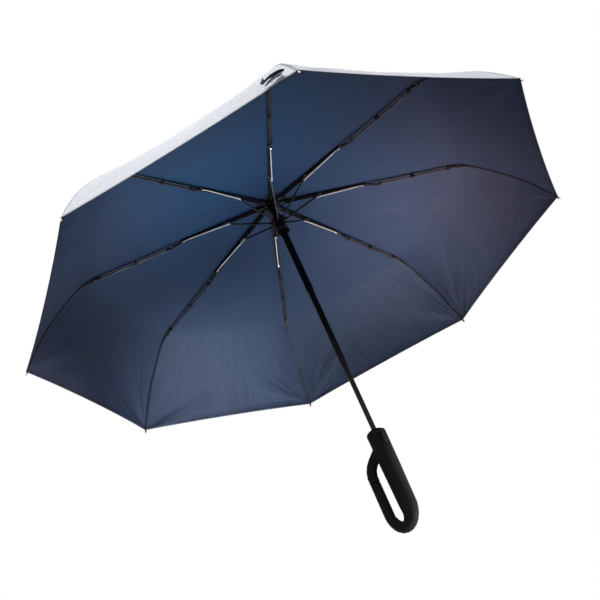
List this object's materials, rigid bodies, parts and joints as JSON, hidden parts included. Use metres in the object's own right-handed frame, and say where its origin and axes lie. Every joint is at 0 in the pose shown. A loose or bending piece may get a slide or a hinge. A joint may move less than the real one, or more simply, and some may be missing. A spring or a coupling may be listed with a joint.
{
  "type": "folding umbrella",
  "caption": "Compact folding umbrella, open: telescopic shaft, linked folding ribs, cloth canopy, push button and a carabiner loop handle.",
  "frame": {"origin": "on the shaft's axis at the middle of the hand grip", "axes": "+Z along the shaft towards the crown, +X towards the tip of rib one; the loop of the handle lies 67 degrees clockwise of +X seen from above"},
  "size_m": [0.9826, 0.9826, 0.6599],
  "materials": {
    "soft_black_plastic": "soft touch",
    "button_plastic": "satin",
    "black_plastic": "satin",
    "black_painted_steel": "satin black paint",
    "brown_painted_steel": "satin dark brown paint",
    "plated_steel": "plated",
    "canopy_cloth": "woven, coated silver-grey outside",
    "strap_cloth": "woven, dark bound edges"
  },
  "bodies": {
    "grip": {"handle_body": "soft_black_plastic", "lower_tube": "black_painted_steel", "gate_pin": "plated_steel"},
    "button": {"release_button": "button_plastic"},
    "gate": {"gate": "soft_black_plastic"},
    "middle_tube": {"middle_tube": "black_painted_steel"},
    "shaft_top": {"top_tube": "black_painted_steel", "crown": "black_plastic", "cap": "black_plastic", "canopy": "canopy_cloth"},
    "runner": {"runner": "black_plastic"},
    "top_rib_1": {"top_rib_1": "black_painted_steel"},
    "stretcher_1": {"stretcher_1": "black_painted_steel"},
    "link_bar_1": {"link_bar_1": "plated_steel"},
    "middle_rib_1": {"middle_rib_1": "brown_painted_steel", "pull_wire_1": "plated_steel"},
    "outer_rib_1": {"outer_rib_1": "black_painted_steel"},
    "top_rib_2": {"top_rib_2": "black_painted_steel"},
    "stretcher_2": {"stretcher_2": "black_painted_steel"},
    "link_bar_2": {"link_bar_2": "plated_steel"},
    "middle_rib_2": {"middle_rib_2": "brown_painted_steel", "pull_wire_2": "plated_steel"},
    "outer_rib_2": {"outer_rib_2": "black_painted_steel"},
    "top_rib_3": {"top_rib_3": "black_painted_steel"},
    "stretcher_3": {"stretcher_3": "black_painted_steel"},
    "link_bar_3": {"link_bar_3": "plated_steel"},
    "middle_rib_3": {"middle_rib_3": "brown_painted_steel", "pull_wire_3": "plated_steel"},
    "outer_rib_3": {"outer_rib_3": "black_painted_steel"},
    "top_rib_4": {"top_rib_4": "black_painted_steel"},
    "stretcher_4": {"stretcher_4": "black_painted_steel"},
    "link_bar_4": {"link_bar_4": "plated_steel"},
    "middle_rib_4": {"middle_rib_4": "brown_painted_steel", "pull_wire_4": "plated_steel"},
    "outer_rib_4": {"outer_rib_4": "black_painted_steel"},
    "top_rib_5": {"top_rib_5": "black_painted_steel"},
    "stretcher_5": {"stretcher_5": "black_painted_steel"},
    "link_bar_5": {"link_bar_5": "plated_steel"},
    "middle_rib_5": {"middle_rib_5": "brown_painted_steel", "pull_wire_5": "plated_steel"},
    "outer_rib_5": {"outer_rib_5": "black_painted_steel"},
    "top_rib_6": {"top_rib_6": "black_painted_steel"},
    "stretcher_6": {"stretcher_6": "black_painted_steel"},
    "link_bar_6": {"link_bar_6": "plated_steel"},
    "middle_rib_6": {"middle_rib_6": "brown_painted_steel", "pull_wire_6": "plated_steel"},
    "outer_rib_6": {"outer_rib_6": "black_painted_steel"},
    "top_rib_7": {"top_rib_7": "black_painted_steel"},
    "stretcher_7": {"stretcher_7": "black_painted_steel"},
    "link_bar_7": {"link_bar_7": "plated_steel"},
    "middle_rib_7": {"middle_rib_7": "brown_painted_steel", "pull_wire_7": "plated_steel"},
    "outer_rib_7": {"outer_rib_7": "black_painted_steel"},
    "top_rib_8": {"top_rib_8": "black_painted_steel"},
    "stretcher_8": {"stretcher_8": "black_painted_steel"},
    "link_bar_8": {"link_bar_8": "plated_steel"},
    "middle_rib_8": {"middle_rib_8": "brown_painted_steel", "pull_wire_8": "plated_steel"},
    "outer_rib_8": {"outer_rib_8": "black_painted_steel", "tie_strap": "strap_cloth"}
  },
  "joints": [
    {"name": "button_press", "type": "slide", "parent": "grip", "child": "button", "axis": [-0.2924, -0.9563, 0], "range_m": [0, 0.0024], "stiffness_N_per_m": 1200, "springref_m": -0.002},
    {"name": "gate_swing", "type": "hinge", "parent": "grip", "child": "gate", "pos_m": [0.01297, -0.03056, -0.031], "axis": [0.9205, 0.3907, 0], "range_deg": [0, 9], "stiffness_Nm_per_rad": 0.12, "springref_deg": -20.05},
    {"name": "lower_stage", "type": "slide", "parent": "grip", "child": "middle_tube", "axis": [0, 0, -1], "range_m": [0, 0.115]},
    {"name": "upper_stage", "type": "slide", "parent": "middle_tube", "child": "shaft_top", "axis": [0, 0, -1], "range_m": [0, 0.15]},
    {"name": "runner_slide", "type": "slide", "parent": "shaft_top", "child": "runner", "axis": [0, 0, -1], "range_m": [0, 0.1246], "stiffness_N_per_m": 60, "springref_m": -0.12, "deforming": ["canopy", "tie_strap"]},
    {"name": "crown_hinge_1", "type": "hinge", "parent": "shaft_top", "child": "top_rib_1", "pos_m": [0.0115, 0, 0.517], "axis": [0, 1, 0], "range_deg": [0, 79.83]},
    {"name": "stretcher_hinge_1", "type": "hinge", "parent": "top_rib_1", "child": "stretcher_1", "pos_m": [0.0908, 0, 0.50715], "axis": [0, -1, 0], "range_deg": [0, 145.55]},
    {"name": "link_hinge_1", "type": "hinge", "parent": "stretcher_1", "child": "link_bar_1", "pos_m": [0.08427, 0, 0.50464], "axis": [0, 1, 0], "range_deg": [0, 146.45]},
    {"name": "knee_hinge_1", "type": "hinge", "parent": "top_rib_1", "child": "middle_rib_1", "pos_m": [0.17841, 0, 0.49881], "axis": [0, -1, 0], "range_deg": [0, 180.05]},
    {"name": "elbow_hinge_1", "type": "hinge", "parent": "middle_rib_1", "child": "outer_rib_1", "pos_m": [0.35046, 0, 0.47352], "axis": [0, 1, 0], "range_deg": [0, 141.05]},
    {"name": "crown_hinge_2", "type": "hinge", "parent": "shaft_top", "child": "top_rib_2", "pos_m": [0.00813, -0.00813, 0.517], "axis": [0.7071, 0.7071, 0], "range_deg": [0, 79.83]},
    {"name": "stretcher_hinge_2", "type": "hinge", "parent": "top_rib_2", "child": "stretcher_2", "pos_m": [0.0642, -0.0642, 0.50715], "axis": [-0.7071, -0.7071, 0], "range_deg": [0, 145.55]},
    {"name": "link_hinge_2", "type": "hinge", "parent": "stretcher_2", "child": "link_bar_2", "pos_m": [0.05958, -0.05958, 0.50464], "axis": [0.7071, 0.7071, 0], "range_deg": [0, 146.45]},
    {"name": "knee_hinge_2", "type": "hinge", "parent": "top_rib_2", "child": "middle_rib_2", "pos_m": [0.12616, -0.12616, 0.49881], "axis": [-0.7071, -0.7071, 0], "range_deg": [0, 180.05]},
    {"name": "elbow_hinge_2", "type": "hinge", "parent": "middle_rib_2", "child": "outer_rib_2", "pos_m": [0.24782, -0.24782, 0.47352], "axis": [0.7071, 0.7071, 0], "range_deg": [0, 141.05]},
    {"name": "crown_hinge_3", "type": "hinge", "parent": "shaft_top", "child": "top_rib_3", "pos_m": [0, -0.0115, 0.517], "axis": [1, 0, 0], "range_deg": [0, 79.83]},
    {"name": "stretcher_hinge_3", "type": "hinge", "parent": "top_rib_3", "child": "stretcher_3", "pos_m": [0, -0.0908, 0.50715], "axis": [-1, 0, 0], "range_deg": [0, 145.55]},
    {"name": "link_hinge_3", "type": "hinge", "parent": "stretcher_3", "child": "link_bar_3", "pos_m": [0, -0.08427, 0.50464], "axis": [1, 0, 0], "range_deg": [0, 146.45]},
    {"name": "knee_hinge_3", "type": "hinge", "parent": "top_rib_3", "child": "middle_rib_3", "pos_m": [0, -0.17841, 0.49881], "axis": [-1, 0, 0], "range_deg": [0, 180.05]},
    {"name": "elbow_hinge_3", "type": "hinge", "parent": "middle_rib_3", "child": "outer_rib_3", "pos_m": [0, -0.35046, 0.47352], "axis": [1, 0, 0], "range_deg": [0, 141.05]},
    {"name": "crown_hinge_4", "type": "hinge", "parent": "shaft_top", "child": "top_rib_4", "pos_m": [-0.00813, -0.00813, 0.517], "axis": [0.7071, -0.7071, 0], "range_deg": [0, 79.83]},
    {"name": "stretcher_hinge_4", "type": "hinge", "parent": "top_rib_4", "child": "stretcher_4", "pos_m": [-0.0642, -0.0642, 0.50715], "axis": [-0.7071, 0.7071, 0], "range_deg": [0, 145.55]},
    {"name": "link_hinge_4", "type": "hinge", "parent": "stretcher_4", "child": "link_bar_4", "pos_m": [-0.05958, -0.05958, 0.50464], "axis": [0.7071, -0.7071, 0], "range_deg": [0, 146.45]},
    {"name": "knee_hinge_4", "type": "hinge", "parent": "top_rib_4", "child": "middle_rib_4", "pos_m": [-0.12616, -0.12616, 0.49881], "axis": [-0.7071, 0.7071, 0], "range_deg": [0, 180.05]},
    {"name": "elbow_hinge_4", "type": "hinge", "parent": "middle_rib_4", "child": "outer_rib_4", "pos_m": [-0.24782, -0.24782, 0.47352], "axis": [0.7071, -0.7071, 0], "range_deg": [0, 141.05]},
    {"name": "crown_hinge_5", "type": "hinge", "parent": "shaft_top", "child": "top_rib_5", "pos_m": [-0.0115, 0, 0.517], "axis": [0, -1, 0], "range_deg": [0, 79.83]},
    {"name": "stretcher_hinge_5", "type": "hinge", "parent": "top_rib_5", "child": "stretcher_5", "pos_m": [-0.0908, 0, 0.50715], "axis": [0, 1, 0], "range_deg": [0, 145.55]},
    {"name": "link_hinge_5", "type": "hinge", "parent": "stretcher_5", "child": "link_bar_5", "pos_m": [-0.08427, 0, 0.50464], "axis": [0, -1, 0], "range_deg": [0, 146.45]},
    {"name": "knee_hinge_5", "type": "hinge", "parent": "top_rib_5", "child": "middle_rib_5", "pos_m": [-0.17841, 0, 0.49881], "axis": [0, 1, 0], "range_deg": [0, 180.05]},
    {"name": "elbow_hinge_5", "type": "hinge", "parent": "middle_rib_5", "child": "outer_rib_5", "pos_m": [-0.35046, 0, 0.47352], "axis": [0, -1, 0], "range_deg": [0, 141.05]},
    {"name": "crown_hinge_6", "type": "hinge", "parent": "shaft_top", "child": "top_rib_6", "pos_m": [-0.00813, 0.00813, 0.517], "axis": [-0.7071, -0.7071, 0], "range_deg": [0, 79.83]},
    {"name": "stretcher_hinge_6", "type": "hinge", "parent": "top_rib_6", "child": "stretcher_6", "pos_m": [-0.0642, 0.0642, 0.50715], "axis": [0.7071, 0.7071, 0], "range_deg": [0, 145.55]},
    {"name": "link_hinge_6", "type": "hinge", "parent": "stretcher_6", "child": "link_bar_6", "pos_m": [-0.05958, 0.05958, 0.50464], "axis": [-0.7071, -0.7071, 0], "range_deg": [0, 146.45]},
    {"name": "knee_hinge_6", "type": "hinge", "parent": "top_rib_6", "child": "middle_rib_6", "pos_m": [-0.12616, 0.12616, 0.49881], "axis": [0.7071, 0.7071, 0], "range_deg": [0, 180.05]},
    {"name": "elbow_hinge_6", "type": "hinge", "parent": "middle_rib_6", "child": "outer_rib_6", "pos_m": [-0.24782, 0.24782, 0.47352], "axis": [-0.7071, -0.7071, 0], "range_deg": [0, 141.05]},
    {"name": "crown_hinge_7", "type": "hinge", "parent": "shaft_top", "child": "top_rib_7", "pos_m": [0, 0.0115, 0.517], "axis": [-1, 0, 0], "range_deg": [0, 79.83]},
    {"name": "stretcher_hinge_7", "type": "hinge", "parent": "top_rib_7", "child": "stretcher_7", "pos_m": [0, 0.0908, 0.50715], "axis": [1, 0, 0], "range_deg": [0, 145.55]},
    {"name": "link_hinge_7", "type": "hinge", "parent": "stretcher_7", "child": "link_bar_7", "pos_m": [0, 0.08427, 0.50464], "axis": [-1, 0, 0], "range_deg": [0, 146.45]},
    {"name": "knee_hinge_7", "type": "hinge", "parent": "top_rib_7", "child": "middle_rib_7", "pos_m": [0, 0.17841, 0.49881], "axis": [1, 0, 0], "range_deg": [0, 180.05]},
    {"name": "elbow_hinge_7", "type": "hinge", "parent": "middle_rib_7", "child": "outer_rib_7", "pos_m": [0, 0.35046, 0.47352], "axis": [-1, 0, 0], "range_deg": [0, 141.05]},
    {"name": "crown_hinge_8", "type": "hinge", "parent": "shaft_top", "child": "top_rib_8", "pos_m": [0.00813, 0.00813, 0.517], "axis": [-0.7071, 0.7071, 0], "range_deg": [0, 79.83]},
    {"name": "stretcher_hinge_8", "type": "hinge", "parent": "top_rib_8", "child": "stretcher_8", "pos_m": [0.0642, 0.0642, 0.50715], "axis": [0.7071, -0.7071, 0], "range_deg": [0, 145.55]},
    {"name": "link_hinge_8", "type": "hinge", "parent": "stretcher_8", "child": "link_bar_8", "pos_m": [0.05958, 0.05958, 0.50464], "axis": [-0.7071, 0.7071, 0], "range_deg": [0, 146.45]},
    {"name": "knee_hinge_8", "type": "hinge", "parent": "top_rib_8", "child": "middle_rib_8", "pos_m": [0.12616, 0.12616, 0.49881], "axis": [0.7071, -0.7071, 0], "range_deg": [0, 180.05]},
    {"name": "elbow_hinge_8", "type": "hinge", "parent": "middle_rib_8", "child": "outer_rib_8", "pos_m": [0.24782, 0.24782, 0.47352], "axis": [-0.7071, 0.7071, 0], "range_deg": [0, 141.05]}
  ],
  "couplings": [
    {"joint": "crown_hinge_1", "follows": "runner_slide", "rad_per_m": 11.175},
    {"joint": "stretcher_hinge_1", "follows": "runner_slide", "rad_per_m": 20.381},
    {"joint": "link_hinge_1", "follows": "runner_slide", "rad_per_m": 20.507},
    {"joint": "knee_hinge_1", "follows": "runner_slide", "rad_per_m": 25.213},
    {"joint": "elbow_hinge_1", "follows": "runner_slide", "rad_per_m": 19.751},
    {"joint": "crown_hinge_2", "follows": "runner_slide", "rad_per_m": 11.175},
    {"joint": "stretcher_hinge_2", "follows": "runner_slide", "rad_per_m": 20.381},
    {"joint": "link_hinge_2", "follows": "runner_slide", "rad_per_m": 20.507},
    {"joint": "knee_hinge_2", "follows": "runner_slide", "rad_per_m": 25.213},
    {"joint": "elbow_hinge_2", "follows": "runner_slide", "rad_per_m": 19.751},
    {"joint": "crown_hinge_3", "follows": "runner_slide", "rad_per_m": 11.175},
    {"joint": "stretcher_hinge_3", "follows": "runner_slide", "rad_per_m": 20.381},
    {"joint": "link_hinge_3", "follows": "runner_slide", "rad_per_m": 20.507},
    {"joint": "knee_hinge_3", "follows": "runner_slide", "rad_per_m": 25.213},
    {"joint": "elbow_hinge_3", "follows": "runner_slide", "rad_per_m": 19.751},
    {"joint": "crown_hinge_4", "follows": "runner_slide", "rad_per_m": 11.175},
    {"joint": "stretcher_hinge_4", "follows": "runner_slide", "rad_per_m": 20.381},
    {"joint": "link_hinge_4", "follows": "runner_slide", "rad_per_m": 20.507},
    {"joint": "knee_hinge_4", "follows": "runner_slide", "rad_per_m": 25.213},
    {"joint": "elbow_hinge_4", "follows": "runner_slide", "rad_per_m": 19.751},
    {"joint": "crown_hinge_5", "follows": "runner_slide", "rad_per_m": 11.175},
    {"joint": "stretcher_hinge_5", "follows": "runner_slide", "rad_per_m": 20.381},
    {"joint": "link_hinge_5", "follows": "runner_slide", "rad_per_m": 20.507},
    {"joint": "knee_hinge_5", "follows": "runner_slide", "rad_per_m": 25.213},
    {"joint": "elbow_hinge_5", "follows": "runner_slide", "rad_per_m": 19.751},
    {"joint": "crown_hinge_6", "follows": "runner_slide", "rad_per_m": 11.175},
    {"joint": "stretcher_hinge_6", "follows": "runner_slide", "rad_per_m": 20.381},
    {"joint": "link_hinge_6", "follows": "runner_slide", "rad_per_m": 20.507},
    {"joint": "knee_hinge_6", "follows": "runner_slide", "rad_per_m": 25.213},
    {"joint": "elbow_hinge_6", "follows": "runner_slide", "rad_per_m": 19.751},
    {"joint": "crown_hinge_7", "follows": "runner_slide", "rad_per_m": 11.175},
    {"joint": "stretcher_hinge_7", "follows": "runner_slide", "rad_per_m": 20.381},
    {"joint": "link_hinge_7", "follows": "runner_slide", "rad_per_m": 20.507},
    {"joint": "knee_hinge_7", "follows": "runner_slide", "rad_per_m": 25.213},
    {"joint": "elbow_hinge_7", "follows": "runner_slide", "rad_per_m": 19.751},
    {"joint": "crown_hinge_8", "follows": "runner_slide", "rad_per_m": 11.175},
    {"joint": "stretcher_hinge_8", "follows": "runner_slide", "rad_per_m": 20.381},
    {"joint": "link_hinge_8", "follows": "runner_slide", "rad_per_m": 20.507},
    {"joint": "knee_hinge_8", "follows": "runner_slide", "rad_per_m": 25.213},
    {"joint": "elbow_hinge_8", "follows": "runner_slide", "rad_per_m": 19.751}
  ]
}
